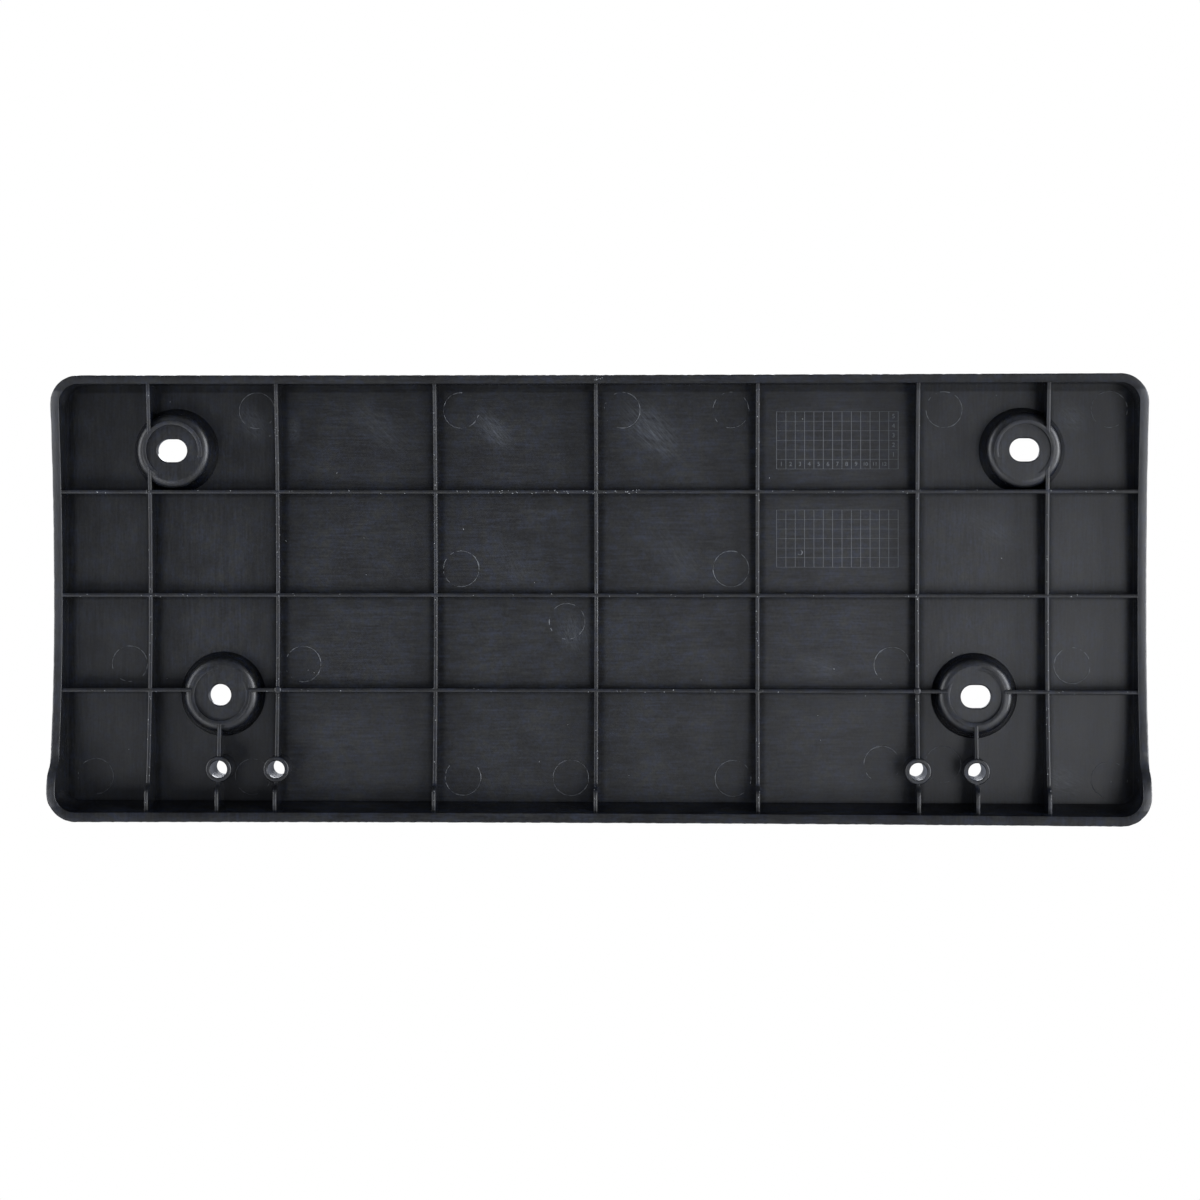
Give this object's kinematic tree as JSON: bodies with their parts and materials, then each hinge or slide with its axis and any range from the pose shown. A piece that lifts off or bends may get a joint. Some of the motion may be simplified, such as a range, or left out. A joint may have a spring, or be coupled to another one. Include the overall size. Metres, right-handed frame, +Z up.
{
  "type": "number plate holder",
  "caption": "Shallow ribbed tray that spaces a number plate off a curved bumper, with screw cups, screw bosses and a rim trimmed to the bumper.",
  "frame": {"origin": "centre of the flat plate face at the front of the tray", "axes": "upright as on the car: +Z up, +X along the length, -Y towards the plate, +Y towards the bumper"},
  "size_m": [0.303, 0.0227, 0.1236],
  "materials": {
    "moulded_plastic": "black polypropylene, moulded, satin with fine tool marks"
  },
  "bodies": {
    "root": {"holder": "moulded_plastic"}
  },
  "joints": []
}
